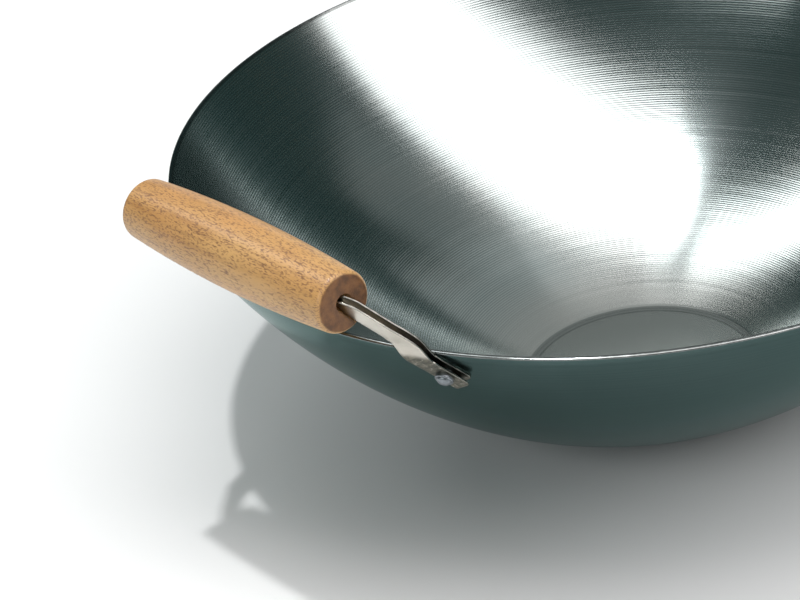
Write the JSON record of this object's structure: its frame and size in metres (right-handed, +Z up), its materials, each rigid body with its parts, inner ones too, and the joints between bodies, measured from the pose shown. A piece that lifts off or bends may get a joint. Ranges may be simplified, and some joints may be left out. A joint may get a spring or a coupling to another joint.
{
  "type": "wok",
  "caption": "Flat-bottomed carbon steel wok with a spun bowl and a turned wooden loop handle on each side, held by folded steel brackets riveted below the rim.",
  "frame": {"origin": "centre of the flat base, on the surface that the wok stands on", "axes": "+Z up along the bowl's axis; the handles lie along X, the left one at -X and the right one at +X, with their grips parallel to Y"},
  "size_m": [0.3998, 0.3558, 0.1528],
  "materials": {
    "carbon_steel": "satin, with fine concentric spinning marks",
    "grip_wood": "smooth, lightly oiled",
    "bracket_steel": "bright nickel-like plating",
    "rivet_metal": "satin"
  },
  "bodies": {
    "root": {"wok_bowl": "carbon_steel", "left_grip": "grip_wood", "right_grip": "grip_wood", "left_bracket": "bracket_steel", "right_bracket": "bracket_steel", "left_first_rivet": "rivet_metal", "left_second_rivet": "rivet_metal", "right_first_rivet": "rivet_metal", "right_second_rivet": "rivet_metal"}
  },
  "joints": []
}
